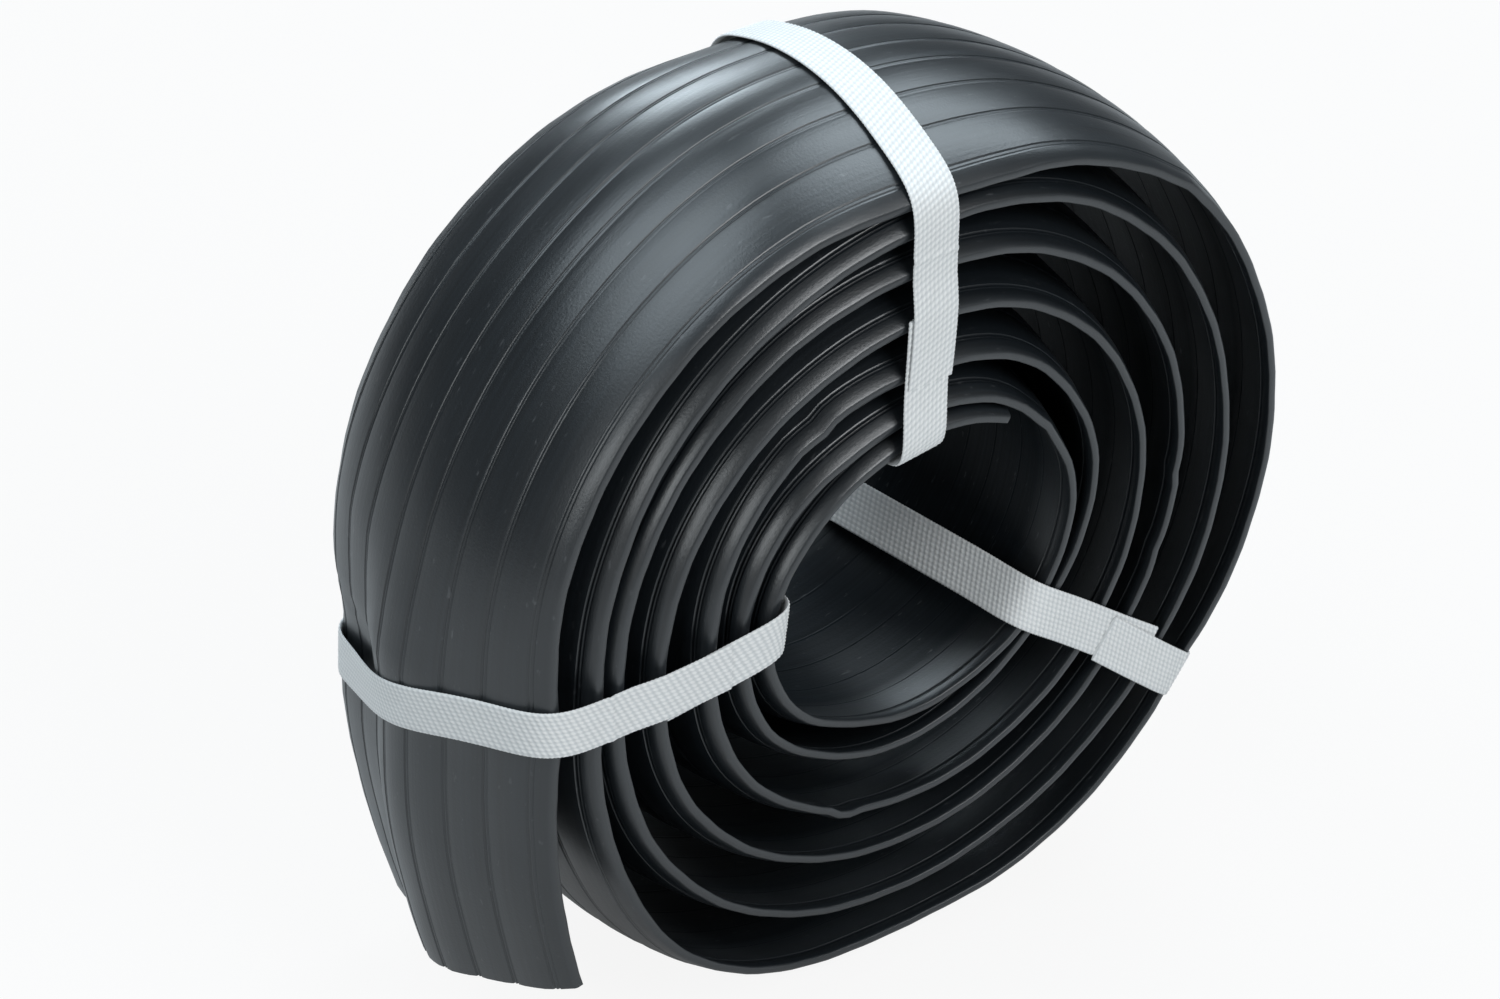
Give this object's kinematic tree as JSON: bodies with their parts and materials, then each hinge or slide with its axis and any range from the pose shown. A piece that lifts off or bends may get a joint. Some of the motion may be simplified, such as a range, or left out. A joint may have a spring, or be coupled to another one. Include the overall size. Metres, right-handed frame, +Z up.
{
  "type": "coiled rubber cable cover",
  "caption": "Arched rubber floor strip for covering a cable, grooved on its outside and hollow beneath, wound into an upright coil and held by woven straps.",
  "frame": {"origin": "on the floor, under the middle of the coil's outer box", "axes": "+Z up, the coil's axis along Y with its front face towards -Y, +X to the right as the front face is seen, the strip's outer end hanging on the -X side"},
  "size_m": [0.2364, 0.0862, 0.2275],
  "materials": {
    "strip_rubber": "satin",
    "strap_weave": "woven polyester"
  },
  "bodies": {
    "root": {"cover_strip": "strip_rubber", "strap_left": "strap_weave", "strap_top": "strap_weave", "strap_low": "strap_weave"}
  },
  "joints": []
}
